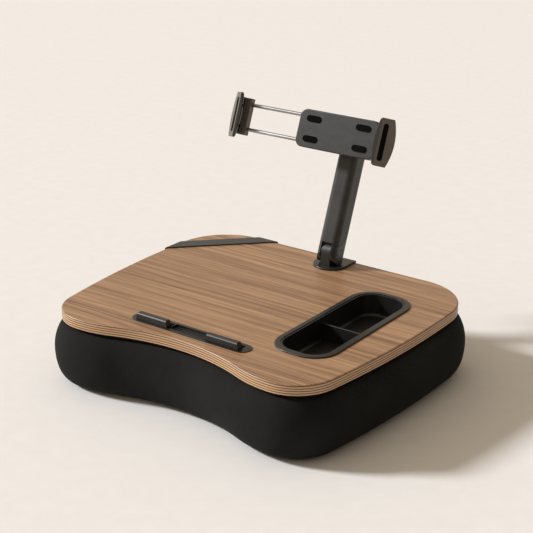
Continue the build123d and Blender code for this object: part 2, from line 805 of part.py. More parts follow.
def bowed_face(straight, end, reach, height):
    top = (end, height / 2)
    bottom = (end, -height / 2)
    sides = Polyline(bottom, (straight, -height / 2), (straight, height / 2), top)
    bow = ThreePointArc(top, (reach, 0), bottom)
    return make_face(Curve() + [sides, bow])


def wing_on_right():
    outline = bowed_face(0, wing_end_share * wing_length, wing_length, jaw_height)
    plate = extrude(outline, wing_thickness)
    plate = fillet(plate.edges().group_by(Axis.Z)[-1], wing_round)
    return wing_plane().location * Pos(0, 0, -wing_thickness) * plate


def grip_room():
    slot = Rot(0, 0, 90) * SlotOverall(grip_length, grip_width)
    return wing_plane().location * Pos(grip_centre, 0, -grip_depth) * extrude(slot, 2 * grip_depth)


def lip_on_right():
    lip_end = wing_start + jaw_lip_thickness
    outline = bowed_face(lip_end, -jaw_lip_end_reach, -jaw_lip_reach, jaw_lip_height)
    lip = Pos(0, -lip_back, 0) * Rot(90, 0, 0) * extrude(outline, jaw_lip_thickness)
    lip = fillet(lip.edges().group_by(Axis.Y)[0], jaw_round)
    room = Box(2 * wing_length, 2 * jaw_height, 2 * jaw_height, align=rightward)
    return lip - wing_plane().location * room


def grip_on_right():
    slot = Rot(0, 0, 90) * SlotOverall(grip_length - fit_clearance, grip_width - fit_clearance)
    insert = extrude(slot, grip_depth + grip_proud)
    insert = fillet(insert.edges().group_by(Axis.Z)[-1], grip_proud)
    return wing_plane().location * Pos(grip_centre, 0, -grip_depth) * insert


def jaw_pad_on_right():
    pad_back = plate_front + device_pad
    pad = Box(jaw_pad_thickness, device_thickness - jaw_pad_thickness, jaw_pad_height, align=forward_right)
    return Pos(0, -pad_back, 0) * pad


def right_side(shape):
    return Pos(right_jaw_face - foot_place_x, 0, 0) * shape


def left_side(shape):
    return Pos(left_jaw_face - foot_place_x, 0, 0) * mirror(shape, Plane.YZ)


jaw_shape = jaw_on_right() + wing_on_right() - grip_room()
lip_shape = lip_on_right()
left_rods = rod_holes(rod_inner_end, left_jaw_face - jaw_pad_thickness, 0)
left_rod_room = rod_holes(rod_inner_end, left_jaw_face - jaw_pad_thickness, running_clearance)
parts_made["right_jaw"] = head_place * (right_side(jaw_shape) - right_screw_holes)
parts_made["right_jaw_lip"] = head_place * right_side(lip_shape)
parts_made["right_jaw_pad"] = head_place * right_side(jaw_pad_on_right())
parts_made["right_jaw_grip"] = head_place * right_side(grip_on_right())
parts_made["right_jaw_screws"] = head_place * screw_set(jaw_screw_size, right_screw_places)
parts_made["left_jaw"] = head_place * (left_side(jaw_shape) - left_screw_holes - left_rod_room)
parts_made["left_jaw_lip"] = head_place * left_side(lip_shape)
parts_made["left_jaw_pad"] = head_place * left_side(jaw_pad_on_right())
parts_made["left_jaw_grip"] = head_place * left_side(grip_on_right())
parts_made["left_jaw_screws"] = head_place * screw_set(jaw_screw_size, left_screw_places)
parts_made["slide_rods"] = head_place * (left_rods - left_screw_holes)


# Board, cut for everything that sits in it

board = slab(0, board_bottom, board_top)
board = fillet(board.edges().group_by(Axis.Z)[-1], board_edge_round)
board -= tray_room
board -= strip_recess
board -= strap_slot
for holes in (panel_holes, strap_holes, frame_screw_holes, foot_screw_holes):
    board -= holes
parts_made["top_board"] = board

os.makedirs("parts", exist_ok=True)
for name, shape in parts_made.items():
    export_step(shape, f"parts/{name}.step")
print(len(parts_made), "pieces written")
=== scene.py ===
import json
import math

import bmesh
import bpy
import numpy as np
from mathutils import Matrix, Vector


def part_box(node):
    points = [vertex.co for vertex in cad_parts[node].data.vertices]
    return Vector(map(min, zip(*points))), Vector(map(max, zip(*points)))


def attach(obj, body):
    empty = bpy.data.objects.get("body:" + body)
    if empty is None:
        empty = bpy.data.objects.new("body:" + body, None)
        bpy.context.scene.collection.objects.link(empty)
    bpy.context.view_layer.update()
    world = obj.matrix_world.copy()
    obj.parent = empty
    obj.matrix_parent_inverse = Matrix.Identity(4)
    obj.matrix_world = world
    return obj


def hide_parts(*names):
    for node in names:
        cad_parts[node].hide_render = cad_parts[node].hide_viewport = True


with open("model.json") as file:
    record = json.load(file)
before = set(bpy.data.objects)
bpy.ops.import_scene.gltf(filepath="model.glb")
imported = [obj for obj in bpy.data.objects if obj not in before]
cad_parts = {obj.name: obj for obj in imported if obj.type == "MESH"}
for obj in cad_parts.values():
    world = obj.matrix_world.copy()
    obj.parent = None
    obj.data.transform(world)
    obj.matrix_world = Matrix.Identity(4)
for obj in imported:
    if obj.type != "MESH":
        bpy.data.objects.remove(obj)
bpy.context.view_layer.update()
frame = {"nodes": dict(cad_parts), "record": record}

scene = bpy.context.scene
nodes = frame["nodes"]
boardLow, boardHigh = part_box("top_board")
quarterTurn = math.pi / 2
tiny = 1e-12  # guards divisions
print("frame loaded:", len(nodes), "nodes")


# mesh helpers
def linkMesh(name, verts, faces):
    mesh = bpy.data.meshes.new(name)
    mesh.from_pydata([tuple(v) for v in verts], [], faces)
    mesh.validate()
    bm = bmesh.new()
    bm.from_mesh(mesh)
    bmesh.ops.recalc_face_normals(bm, faces=bm.faces)
    bm.to_mesh(mesh)
    bm.free()
    mesh.shade_smooth()
    piece = bpy.data.objects.new(name, mesh)
    scene.collection.objects.link(piece)
    return piece


def applyModifiers(piece):
    graph = bpy.context.evaluated_depsgraph_get()
    mesh = bpy.data.meshes.new_from_object(piece.evaluated_get(graph))
    piece.modifiers.clear()
    piece.data = mesh
    mesh.shade_smooth()


def meshPoints(mesh):
    points = np.zeros(len(mesh.vertices) * 3)
    mesh.vertices.foreach_get("co", points)
    return points.reshape(-1, 3)


def setPoints(mesh, points):
    mesh.vertices.foreach_set("co", points.ravel())
    mesh.update()


# the board's outline as tangent arcs, in metres
deskShape = {
    "sideRadius": 1.5,
    "widestPlace": 0.070,  # how far behind the middle the board is widest
    "rearCorner": 0.090,
    "frontCorner": 0.066,
    "lobe": 0.170,  # radius of the front on either side of the belly curve
    "bellyDepth": 0.031,
    "step": 0.006,  # spacing of points along the outline
    "fewestSteps": 2,
}


def cornerCentre(radius, level):
    behind = level - deskShape["widestPlace"]
    reach = math.sqrt((deskShape["sideRadius"] - radius) ** 2 - behind**2)
    return Vector((boardHigh.x - deskShape["sideRadius"] + reach, level))


def angleTo(start, end):
    return math.atan2(end.y - start.y, end.x - start.x)


def outlineArcs():
    side = Vector((boardHigh.x - deskShape["sideRadius"], deskShape["widestPlace"]))
    rear = cornerCentre(deskShape["rearCorner"], boardHigh.y - deskShape["rearCorner"])
    front = cornerCentre(deskShape["frontCorner"], boardLow.y + deskShape["frontCorner"])
    lobe = Vector((front.x, boardLow.y + deskShape["lobe"]))
    depth = deskShape["bellyDepth"]
    bellyRadius = (front.x**2 + depth**2) / (2 * depth) - deskShape["lobe"]
    belly = Vector((0, boardLow.y + depth - bellyRadius))
    # centre, radius, first angle, last angle, +1 where growing widens the radius
    return rear, [
        (rear, deskShape["rearCorner"], quarterTurn, angleTo(side, rear), 1),
        (side, deskShape["sideRadius"], angleTo(side, rear), angleTo(side, front), 1),
        (front, deskShape["frontCorner"], angleTo(side, front), -quarterTurn, 1),
        (lobe, deskShape["lobe"], -quarterTurn, angleTo(lobe, belly), 1),
        (belly, bellyRadius, angleTo(belly, lobe), quarterTurn, -1),
    ]


# the whole outline, grown outward, from the middle of the rear edge round by the right
def outlineRing(grow):
    rear, arcs = outlineArcs()
    half = []
    lineCount = round(rear.x / deskShape["step"])
    for number in range(lineCount):
        half.append((rear.x * number / lineCount, boardHigh.y + grow))
    for centre, radius, first, last, sign in arcs:
        arcLength = abs(last - first) * radius
        count = max(deskShape["fewestSteps"], round(arcLength / deskShape["step"]))
        reach = radius + sign * grow
        for number in range(count):
            angle = first + (last - first) * number / count
            half.append((centre.x + reach * math.cos(angle), centre.y + reach * math.sin(angle)))
    half.append((0, boardLow.y + deskShape["bellyDepth"] - grow))
    mirrored = [(-x, y) for x, y in reversed(half[1:-1])]
    return half + mirrored


# outlines stacked by height and growth, joined by quads
def ringStack(levels):
    rings = [[(x, y, z) for x, y in outlineRing(grow)] for z, grow in levels]
    size = len(rings[0])
    verts = [point for ring in rings for point in ring]
    faces = []
    for level in range(len(rings) - 1):
        low, high = level * size, (level + 1) * size
        for number in range(size):
            after = (number + 1) % size
            faces.append((low + number, low + after, high + after, high + number))
    return verts, faces, size


# a smooth curve through evenly spaced values, read at a share of its length
def smoothThrough(values, share):
    last = len(values) - 1
    place = share * last
    index = min(int(place), last - 1)
    t = place - index
    before, start = values[max(index - 1, 0)], values[index]
    end, after = values[index + 1], values[min(index + 2, last)]
    slopeIn, slopeOut = (end - before) / 2, (after - start) / 2
    return (
        (2 * t**3 - 3 * t**2 + 1) * start
        + (t**3 - 2 * t**2 + t) * slopeIn
        + (3 * t**2 - 2 * t**3) * end
        + (t**3 - t**2) * slopeOut
    )


# shader helpers
noiseSpan = (0.3, 0.7)  # most values of a noise lie in here
fullSpan = (0, 1)
mixSockets = {"factor": 0, "first": 6, "second": 7, "result": 2}  # of a Mix node for colours


def addNode(tree, kind, **values):
    node = tree.nodes.new(kind)
    for key, value in values.items():
        if key in node.inputs:
            node.inputs[key].default_value = value
        else:
            setattr(node, key, value)
    return node


def mathNode(tree, operation, first, second=None):
    node = addNode(tree, "ShaderNodeMath", operation=operation)
    for socket, value in zip(node.inputs, (first, second)):
        if value is None:
            continue
        if isinstance(value, (int, float)):
            socket.default_value = value
        else:
            tree.links.new(value, socket)
    return node.outputs[0]


def mixColor(tree, factor, first, second):
    node = addNode(tree, "ShaderNodeMix", data_type="RGBA")
    for label, value in {"factor": factor, "first": first, "second": second}.items():
        socket = node.inputs[mixSockets[label]]
        if isinstance(value, tuple):
            socket.default_value = (*value, 1)
        else:
            tree.links.new(value, socket)
    return node.outputs[mixSockets["result"]]


def weightedSum(tree, first, firstWeight, second, secondWeight):
    left = mathNode(tree, "MULTIPLY", first, firstWeight)
    return mathNode(tree, "ADD", left, mathNode(tree, "MULTIPLY", second, secondWeight))


def rangeNode(tree, value, given, wanted):
    node = addNode(tree, "ShaderNodeMapRange")
    for socket, number in zip(node.inputs[1:5], (*given, *wanted)):  # from low, high, to low, high
        socket.default_value = number
    tree.links.new(value, node.inputs[0])
    return node.outputs[0]


def noiseNode(tree, vector, scale, detail, roughness=0.55):
    node = addNode(tree, "ShaderNodeTexNoise", Scale=scale, Detail=detail, Roughness=roughness)
    tree.links.new(vector, node.inputs["Vector"])
    return node.outputs["Fac"]


def mapped(tree, vector, scale=(1, 1, 1), turn=(0, 0, 0)):
    node = addNode(tree, "ShaderNodeMapping", Scale=scale, Rotation=turn)
    tree.links.new(vector, node.inputs["Vector"])
    return node.outputs["Vector"]


def stretchedNoise(tree, vector, stretch, **noise):
    return noiseNode(tree, mapped(tree, vector, scale=stretch), 1.0, **noise)


def splitVector(tree, vector):
    node = addNode(tree, "ShaderNodeSeparateXYZ")
    tree.links.new(vector, node.inputs[0])
    return node.outputs


def newGroup(name, inputs, outputs):
    group = bpy.data.node_groups.new(name, "ShaderNodeTree")
    for label, value in inputs.items():
        kind = "NodeSocketVector" if value is None else "NodeSocketFloat"
        socket = group.interface.new_socket(label, in_out="INPUT", socket_type=kind)
        if value is not None:
            socket.default_value = value
    for label in outputs:
        group.interface.new_socket(label, in_out="OUTPUT", socket_type="NodeSocketFloat")
    return group, group.nodes.new("NodeGroupInput"), group.nodes.new("NodeGroupOutput")


def putOut(group, out, **sockets):
    for label, socket in sockets.items():
        group.links.new(socket, out.inputs[label])


# fine straight wood grain along X: a colour share, a height and a roughness
grainLook = {
    "wander": {"stretch": (2.5, 9, 9), "detail": 3},  # slow drift of the lines
    "wanderReach": 0.022,
    "bands": {"stretch": (2.4, 115, 115), "detail": 4, "roughness": 0.6},
    "bandWeight": 0.5,
    "lines": {"stretch": (6, 420, 420), "detail": 4, "roughness": 0.6},
    "lineWeight": 0.5,
    "contrast": (0.35, 0.65),  # sums that turn fully dark and fully light
    "pores": {"stretch": (22, 900, 900), "detail": 2, "roughness": 0.5},
    "poreSpan": (0.56, 0.70),
    "poreDepth": 0.22,
    "poreRough": 0.6,
}


def makeWoodGrain():
    group, given, out = newGroup(
        "WoodGrain",
        {"Vector": None, "Fineness": 1.0, "Rough": 0.4},
        ["Share", "Height", "Roughness"],
    )
    scaled = addNode(group, "ShaderNodeVectorMath", operation="SCALE")
    group.links.new(given.outputs["Vector"], scaled.inputs[0])
    group.links.new(given.outputs["Fineness"], scaled.inputs["Scale"])
    wander = stretchedNoise(group, scaled.outputs[0], **grainLook["wander"])
    bend = addNode(group, "ShaderNodeCombineXYZ")
    group.links.new(mathNode(group, "MULTIPLY", wander, grainLook["wanderReach"]), bend.inputs["Y"])
    moved = addNode(group, "ShaderNodeVectorMath", operation="ADD")
    group.links.new(scaled.outputs[0], moved.inputs[0])
    group.links.new(bend.outputs[0], moved.inputs[1])
    bands, lines, pores = (
        stretchedNoise(group, moved.outputs[0], **grainLook[layer]) for layer in ("bands", "lines", "pores")
    )
    streaks = weightedSum(group, bands, grainLook["bandWeight"], lines, grainLook["lineWeight"])
    tone = rangeNode(group, streaks, grainLook["contrast"], fullSpan)
    poreCut = rangeNode(group, pores, grainLook["poreSpan"], (0, grainLook["poreDepth"]))
    roughening = mathNode(group, "MULTIPLY", poreCut, grainLook["poreRough"])
    putOut(
        group,
        out,
        Share=mathNode(group, "SUBTRACT", tone, poreCut),
        Height=mathNode(group, "SUBTRACT", lines, poreCut),
        Roughness=mathNode(group, "ADD", given.outputs["Rough"], roughening),
    )
    return group


# rows of small loops, as on a knit or a ribbed weave, with painted shade darkening the low yarn between the
# loops
yarnLook = {
    "rowLean": 0.6,  # how far height counts towards the rows, so that upright sides show them
    "loopLean": 0.8,
    "waveSpan": (-2, 2),  # of the rows' and the loops' waves together
    "loopHeight": 0.4,
    "fuzzScale": 700.0,
    "fuzzHeight": 0.9,
    "blotchScale": 14.0,
    "noiseDetail": 3,
    # share of colour from the yarn's height: low yarn between the loops is painted darker, as painted shade
    "paintedValleyShade": 0.5,
    "blotchShade": 0.6,
    "shadeSpan": (0.2, 1.0),
    "heightSpan": (0, 1.3),
    "valleyRough": 0.1,  # added between the loops
    "sheenRough": 0.5,
    "bumpDepth": 0.0004,
}


def makeYarnRows():
    group, given, out = newGroup(
        "YarnRows",
        {"Vector": None, "Rows": 900.0, "Loops": 700.0},
        ["Height", "Shade"],
    )
    vector = given.outputs["Vector"]
    parts = splitVector(group, vector)
    across = weightedSum(group, parts["X"], 1.0, parts["Z"], yarnLook["rowLean"])
    along = weightedSum(group, parts["Y"], 1.0, parts["Z"], yarnLook["loopLean"])
    rows = mathNode(group, "SINE", mathNode(group, "MULTIPLY", across, given.outputs["Rows"]))
    loops = mathNode(group, "SINE", mathNode(group, "MULTIPLY", along, given.outputs["Loops"]))
    waves = mathNode(group, "ADD", rows, loops)
    yarn = rangeNode(group, waves, yarnLook["waveSpan"], (0, yarnLook["loopHeight"]))
    fuzz = noiseNode(group, vector, yarnLook["fuzzScale"], yarnLook["noiseDetail"])
    height = weightedSum(group, yarn, 1.0, fuzz, yarnLook["fuzzHeight"])
    blotch = noiseNode(group, vector, yarnLook["blotchScale"], yarnLook["noiseDetail"])
    # colour share: painted shade where the yarn lies low between the loops, plus random blotches of tone
    shade = weightedSum(group, height, yarnLook["paintedValleyShade"], blotch, yarnLook["blotchShade"])
    putOut(group, out, Height=height, Shade=shade)
    return group


# moulded or coated skin: fine pits, faint cloudiness and handling marks
mouldLook = {
    "pitDetail": 3,
    "pitRoughness": 0.6,
    "cloudScale": 24.0,
    "cloudDetail": 4,
    "marks": {"stretch": (60, 240, 90), "detail": 3},
    "markSpan": (0.35, 0.7),
    "markRough": (-0.02, 0.03),
    "coatRough": 0.2,
    "bumpDepth": 0.0002,
}


def makeMouldedSkin():
    group, given, out = newGroup(
        "MouldedSkin",
        {"Vector": None, "Pits": 1500.0, "Rough": 0.45},
        ["Cloud", "Height", "Roughness"],
    )
    vector = given.outputs["Vector"]
    pits = addNode(
        group, "ShaderNodeTexNoise", Detail=mouldLook["pitDetail"], Roughness=mouldLook["pitRoughness"]
    )
    group.links.new(vector, pits.inputs["Vector"])
    group.links.new(given.outputs["Pits"], pits.inputs["Scale"])
    cloud = noiseNode(group, vector, mouldLook["cloudScale"], mouldLook["cloudDetail"])
    marks = stretchedNoise(group, vector, **mouldLook["marks"])
    wear = rangeNode(group, marks, mouldLook["markSpan"], mouldLook["markRough"])
    rough = mathNode(group, "ADD", given.outputs["Rough"], wear)
    putOut(group, out, Cloud=cloud, Height=pits.outputs["Fac"], Roughness=rough)
    return group


woodGrain, yarnRows, mouldedSkin = makeWoodGrain(), makeYarnRows(), makeMouldedSkin()
print("surface effects made:", len(bpy.data.node_groups))


# material helpers
def newMaterial(name):
    material = bpy.data.materials.new(name)
    material.use_nodes = True
    tree = material.node_tree
    shader = tree.nodes["Principled BSDF"]
    coords = tree.nodes.new("ShaderNodeTexCoord").outputs["Object"]
    return material, tree, shader, coords


def placeGroup(tree, group, vector, **values):
    node = tree.nodes.new("ShaderNodeGroup")
    node.node_tree = group
    tree.links.new(vector, node.inputs["Vector"])
    for key, value in values.items():
        node.inputs[key].default_value = value
    return node.outputs


def paint(tree, shader, color, rough):
    tree.links.new(color, shader.inputs["Base Color"])
    tree.links.new(rough, shader.inputs["Roughness"])


def setSockets(shader, values):
    for label, value in values.items():
        shader.inputs[label].default_value = value


def bumpInto(tree, shader, height, strength, depth):
    bump = addNode(tree, "ShaderNodeBump", Strength=strength, Distance=depth)
    tree.links.new(height, bump.inputs["Height"])
    tree.links.new(bump.outputs["Normal"], shader.inputs["Normal"])


# walnut face over plies that show at the board's edge
walnut = {
    "light": (0.470, 0.276, 0.147),
    "dark": (0.162, 0.078, 0.037),
    "plyLight": (0.56, 0.345, 0.18),
    "plyDark": (0.075, 0.034, 0.015),
    "veneer": 0.0009,  # depth of the face veneer
    "plies": 8,
    "wobble": {"stretch": (9, 9, 60), "detail": 2},
    "wobbleReach": 0.09,  # in plies
    "glueLine": (-0.65, -0.1),  # of the ply wave: dark below, tan above
    "fibre": {"stretch": (22, 22, 900), "detail": 3},
    "fibreShare": 0.45,
    "fineness": 1.0,
    "rough": 0.42,
    "coat": 0.12,
    "coatRough": 0.35,
    "bump": 0.25,
    "bumpDepth": 0.0002,
}


def plyEdge(tree, coords, level, veneerLevel):
    depth = rangeNode(tree, level, (boardLow.z, veneerLevel), (0, walnut["plies"]))
    wobble = stretchedNoise(tree, coords, **walnut["wobble"])
    reach = walnut["wobbleReach"]
    depth = mathNode(tree, "ADD", depth, rangeNode(tree, wobble, noiseSpan, (-reach, reach)))
    wave = mathNode(tree, "SINE", mathNode(tree, "MULTIPLY", depth, math.pi))
    fibre = stretchedNoise(tree, coords, **walnut["fibre"])
    fibreShare = rangeNode(tree, fibre, noiseSpan, (0, walnut["fibreShare"]))
    tanPly = mixColor(tree, fibreShare, walnut["plyLight"], walnut["light"])
    return mixColor(tree, rangeNode(tree, wave, walnut["glueLine"], fullSpan), walnut["plyDark"], tanPly)


def walnutMaterial():
    material, tree, shader, coords = newMaterial("walnutPly")
    grain = placeGroup(tree, woodGrain, coords, Fineness=walnut["fineness"], Rough=walnut["rough"])
    face = mixColor(tree, grain["Share"], walnut["dark"], walnut["light"])
    level = splitVector(tree, coords)["Z"]
    veneerLevel = boardHigh.z - walnut["veneer"]
    edge = plyEdge(tree, coords, level, veneerLevel)
    below = mathNode(tree, "LESS_THAN", level, veneerLevel)
    paint(tree, shader, mixColor(tree, below, face, edge), grain["Roughness"])
    setSockets(shader, {"Coat Weight": walnut["coat"], "Coat Roughness": walnut["coatRough"]})
    bumpInto(tree, shader, grain["Height"], walnut["bump"], walnut["bumpDepth"])
    return material


# raw hardboard of the panel under the board
hardboard = {
    "light": (0.30, 0.18, 0.095),
    "dark": (0.16, 0.09, 0.045),
    "fineness": 2.5,
    "rough": 0.7,
    "bump": 0.3,
    "bumpDepth": 0.0003,
}


def hardboardMaterial():
    material, tree, shader, coords = newMaterial("rawHardboard")
    grain = placeGroup(tree, woodGrain, coords, Fineness=hardboard["fineness"], Rough=hardboard["rough"])
    color = mixColor(tree, grain["Share"], hardboard["dark"], hardboard["light"])
    paint(tree, shader, color, grain["Roughness"])
    bumpInto(tree, shader, grain["Height"], hardboard["bump"], hardboard["bumpDepth"])
    return material


# cloths: the cushion's knit and the strap's woven elastic
knitLook = {
    "dark": (0.004, 0.004, 0.004),
    "light": (0.021, 0.0205, 0.020),
    "turn": 0.0,
    "rows": 5200.0,
    "loops": 3900.0,
    "rough": 0.85,
    "shine": 0.09,
    "sheen": 0.01,
    "bump": 0.3,
}
elasticLook = {
    "dark": (0.008, 0.008, 0.008),
    "light": (0.036, 0.034, 0.032),
    "turn": math.radians(-45),  # sets the rows square to the strap
    "rows": 1600.0,
    "loops": 5600.0,
    "rough": 0.7,
    "shine": 0.35,
    "sheen": 0.15,
    "bump": 0.7,
}


def clothMaterial(name, look):
    material, tree, shader, coords = newMaterial(name)
    turned = mapped(tree, coords, turn=(0, 0, look["turn"]))
    yarn = placeGroup(tree, yarnRows, turned, Rows=look["rows"], Loops=look["loops"])
    # darker where the yarn lies low between the loops, as painted shade, and in random blotches of tone
    shade = rangeNode(tree, yarn["Shade"], yarnLook["shadeSpan"], fullSpan)
    roughSpan = (look["rough"] + yarnLook["valleyRough"], look["rough"])
    rough = rangeNode(tree, yarn["Height"], yarnLook["heightSpan"], roughSpan)
    paint(tree, shader, mixColor(tree, shade, look["dark"], look["light"]), rough)
    setSockets(shader, {
        "Specular IOR Level": look["shine"],
        "Sheen Weight": look["sheen"],
        "Sheen Roughness": yarnLook["sheenRough"],
    })
    bumpInto(tree, shader, yarn["Height"], look["bump"], yarnLook["bumpDepth"])
    return material


# plastics, metals and rubber by the names of their slots
skinLooks = {
    "black_plastic": {
        "dark": (0.006, 0.006, 0.006), "light": (0.011, 0.0107, 0.0104),
        "pits": 1600.0, "rough": 0.40, "bump": 0.20, "coat": 0.1,
    },
    "arm_plastic": {
        "dark": (0.032, 0.0315, 0.031), "light": (0.047, 0.0465, 0.046),
        "pits": 900.0, "rough": 0.34, "bump": 0.12, "shine": 0.3,
    },
    "black_metal": {
        "dark": (0.010, 0.010, 0.010), "light": (0.022, 0.0215, 0.021),
        "pits": 1100.0, "rough": 0.36, "bump": 0.25, "coat": 0.1,
    },
    "jaw_plastic": {
        "dark": (0.102, 0.089, 0.075), "light": (0.134, 0.117, 0.099),
        "pits": 1300.0, "rough": 0.45, "bump": 0.2,
    },
    "gloss_plastic": {
        "dark": (0.004, 0.004, 0.004), "light": (0.008, 0.008, 0.008),
        "pits": 500.0, "rough": 0.14, "bump": 0.04, "coat": 0.5,
    },
    "steel": {
        "dark": (0.26, 0.26, 0.27), "light": (0.40, 0.40, 0.40),
        "pits": 700.0, "rough": 0.32, "bump": 0.15, "metal": 1.0,
    },
    "nylon": {
        "dark": (0.66, 0.65, 0.60), "light": (0.80, 0.79, 0.75),
        "pits": 900.0, "rough": 0.5, "bump": 0.15,
    },
    "rubber": {
        "dark": (0.002, 0.002, 0.002), "light": (0.005, 0.005, 0.005),
        "pits": 2200.0, "rough": 0.85, "bump": 0.35, "shine": 0.04,
    },
}


def skinMaterial(name, dark, light, pits, rough, bump, shine=0.5, metal=0.0, coat=0.0):
    material, tree, shader, coords = newMaterial(name)
    skin = placeGroup(tree, mouldedSkin, coords, Pits=pits, Rough=rough)
    cloud = rangeNode(tree, skin["Cloud"], noiseSpan, fullSpan)
    paint(tree, shader, mixColor(tree, cloud, dark, light), skin["Roughness"])
    setSockets(shader, {
        "Specular IOR Level": shine,
        "Metallic": metal,
        "Coat Weight": coat,
        "Coat Roughness": mouldLook["coatRough"],
    })
    bumpInto(tree, shader, skin["Height"], bump, mouldLook["bumpDepth"])
    return material


finishes = {name: skinMaterial(name, **look) for name, look in skinLooks.items()}
finishes["walnut_plywood"] = walnutMaterial()
finishes["hardboard"] = hardboardMaterial()
knit = clothMaterial("blackKnit", knitLook)
elastic = clothMaterial("wovenElastic", elasticLook)
finishes["cushion_knit"] = finishes["foam"] = knit
finishes["elastic"] = elastic
for entry in frame["record"]["subparts"]:
    mesh = nodes[entry["node"]].data
    mesh.materials.clear()
    mesh.materials.append(finishes[entry["material_slot"]])
print("materials made:", len(finishes))


# cushion: a stuffed cover, blown up by cloth simulation and cut for the tray
cushion = {
    "bulge": 0.0165,  # how far the fullest part stands out past the board
    "rimInset": 0.005,
    "heightShares": [0, 0.02, 0.09, 0.24, 0.47, 0.68, 0.85, 1],
    "bulgeShares": [-1.35, -0.45, 0.2, 0.74, 1.0, 0.88, 0.42],  # from the sole up, below the rim
    "rings": 26,
    "shapedGap": 0.001,  # the shaped rings end this far below the panel
    "panelGap": 0.0004,  # and the closing ring this far
    "topInset": 0.0025,
    "slack": 0.003,  # the form is sewn this much smaller and swells
    "voxel": 0.006,
    "soleHeld": 0.002,  # points below this height stay where they are
    "quality": 5,
    "pressure": 4.0,
    "frames": 20,
    "most": 0.007,  # furthest that a point may move
    "softening": 0.5,
    "softenings": 4,
    "subdivisions": 1,
    "pocketRoom": 0.0007,
    "pocketCorner": 0.0307,
    "pocketSteps": 8,
    "lipReach": 0.009,  # the tray's lip stands out this far from its tub
}


def holdEnds(piece, start):
    heights = start[:, 2]
    still = (heights > heights.max() - cushion["voxel"]) | (heights < cushion["soleHeld"])
    held = piece.vertex_groups.new(name="held")
    held.add([int(number) for number in np.where(still)[0]], 1.0, "REPLACE")
    return held.name


def inflate(piece):
    remesh = piece.modifiers.new("Remesh", "REMESH")
    remesh.mode = "VOXEL"
    remesh.voxel_size = cushion["voxel"]
    applyModifiers(piece)
    start = meshPoints(piece.data)
    heldName = holdEnds(piece, start)
    cloth = piece.modifiers.new("Cloth", "CLOTH")
    cloth.settings.quality = cushion["quality"]
    cloth.settings.use_pressure = True
    cloth.settings.uniform_pressure_force = cushion["pressure"]
    cloth.settings.vertex_group_mass = heldName
    cloth.settings.effector_weights.gravity = 0
    cloth.point_cache.frame_start = 1
    cloth.point_cache.frame_end = cushion["frames"]
    for number in range(1, cushion["frames"] + 1):
        scene.frame_set(number)
    applyModifiers(piece)
    scene.frame_set(1)
    move = meshPoints(piece.data) - start
    length = np.linalg.norm(move, axis=1, keepdims=True)
    move *= np.minimum(1, cushion["most"] / np.maximum(length, tiny))
    blown = start + move
    blown[:, 2] = np.clip(blown[:, 2], start[:, 2].min(), start[:, 2].max())
    setPoints(piece.data, blown)
    piece.vertex_groups.clear()


def roundedRing(low, high, level):
    radius, steps = cushion["pocketCorner"], cushion["pocketSteps"]
    ring = []
    corners = ((high.x, high.y, 0), (low.x, high.y, 1), (low.x, low.y, 2), (high.x, low.y, 3))
    for x, y, turn in corners:
        centreX = x - radius if x == high.x else x + radius
        centreY = y - radius if y == high.y else y + radius
        for number in range(steps + 1):
            angle = quarterTurn * (turn + number / steps)
            ring.append((centreX + radius * math.cos(angle), centreY + radius * math.sin(angle), level))
    return ring


# the tray's tub hangs into the cushion, so a well is cut for it
def cutPocket(piece):
    lipLow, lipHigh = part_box("organiser_tray")
    edge = cushion["lipReach"] - cushion["pocketRoom"]
    low = Vector((lipLow.x + edge, lipLow.y + edge, lipLow.z - cushion["pocketRoom"]))
    high = Vector((lipHigh.x - edge, lipHigh.y - edge, lipHigh.z))
    floor, mouth = roundedRing(low, high, low.z), roundedRing(low, high, high.z)
    size = len(floor)
    faces = [(n, (n + 1) % size, size + (n + 1) % size, size + n) for n in range(size)]
    faces += [tuple(reversed(range(size))), tuple(range(size, 2 * size))]
    cutter = linkMesh("pocketCutter", floor + mouth, faces)
    cut = piece.modifiers.new("Pocket", "BOOLEAN")
    cut.object = cutter
    cut.operation = "DIFFERENCE"
    cut.solver = "EXACT"
    applyModifiers(piece)
    bpy.data.objects.remove(cutter)


def cushionLevels():
    low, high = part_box("cushion_cover")
    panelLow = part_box("cushion_panel")[0].z
    bulges = [share * cushion["bulge"] for share in cushion["bulgeShares"]] + [-cushion["rimInset"]]
    levels = []
    for number in range(cushion["rings"] + 1):
        share = number / cushion["rings"]
        z = low.z + (high.z - low.z) * smoothThrough(cushion["heightShares"], share)
        if z < panelLow - cushion["shapedGap"]:
            slack = cushion["slack"] * math.sin(math.pi * z / high.z)
            levels.append((z, smoothThrough(bulges, share) - slack))
    levels.append((panelLow - cushion["panelGap"], levels[-1][1] - cushion["topInset"]))
    return levels


def makeCushion():
    verts, faces, size = ringStack(cushionLevels())
    faces.append(tuple(reversed(range(size))))
    faces.append(tuple(range(len(verts) - size, len(verts))))
    piece = linkMesh("stuffedCushion", verts, faces)
    inflate(piece)
    soften = piece.modifiers.new("Soften", "SMOOTH")
    soften.factor = cushion["softening"]
    soften.iterations = cushion["softenings"]
    piece.modifiers.new("Finer", "SUBSURF").levels = cushion["subdivisions"]
    applyModifiers(piece)
    cutPocket(piece)
    return piece


cushionPiece = makeCushion()
cushionPiece.data.materials.append(knit)
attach(cushionPiece, "desk")
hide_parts("cushion_cover", "cushion_foam")
print("cushion made:", len(cushionPiece.data.polygons), "faces")

# rolled hem that closes the cover against the board
hem = {"radius": 0.0024, "sides": 8, "grow": -0.0062}


def makeHem():
    radius, sides = hem["radius"], hem["sides"]
    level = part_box("cushion_cover")[1].z - radius
    angles = [2 * math.pi * number / sides for number in range(sides + 1)]
    levels = [(level + radius * math.sin(a), hem["grow"] + radius * math.cos(a)) for a in angles]
    verts, faces, size = ringStack(levels)
    last = sides * size  # the ring from here on repeats the first one
    faces = [tuple(corner % last for corner in face) for face in faces]
    return linkMesh("rolledHem", verts[:last], faces)


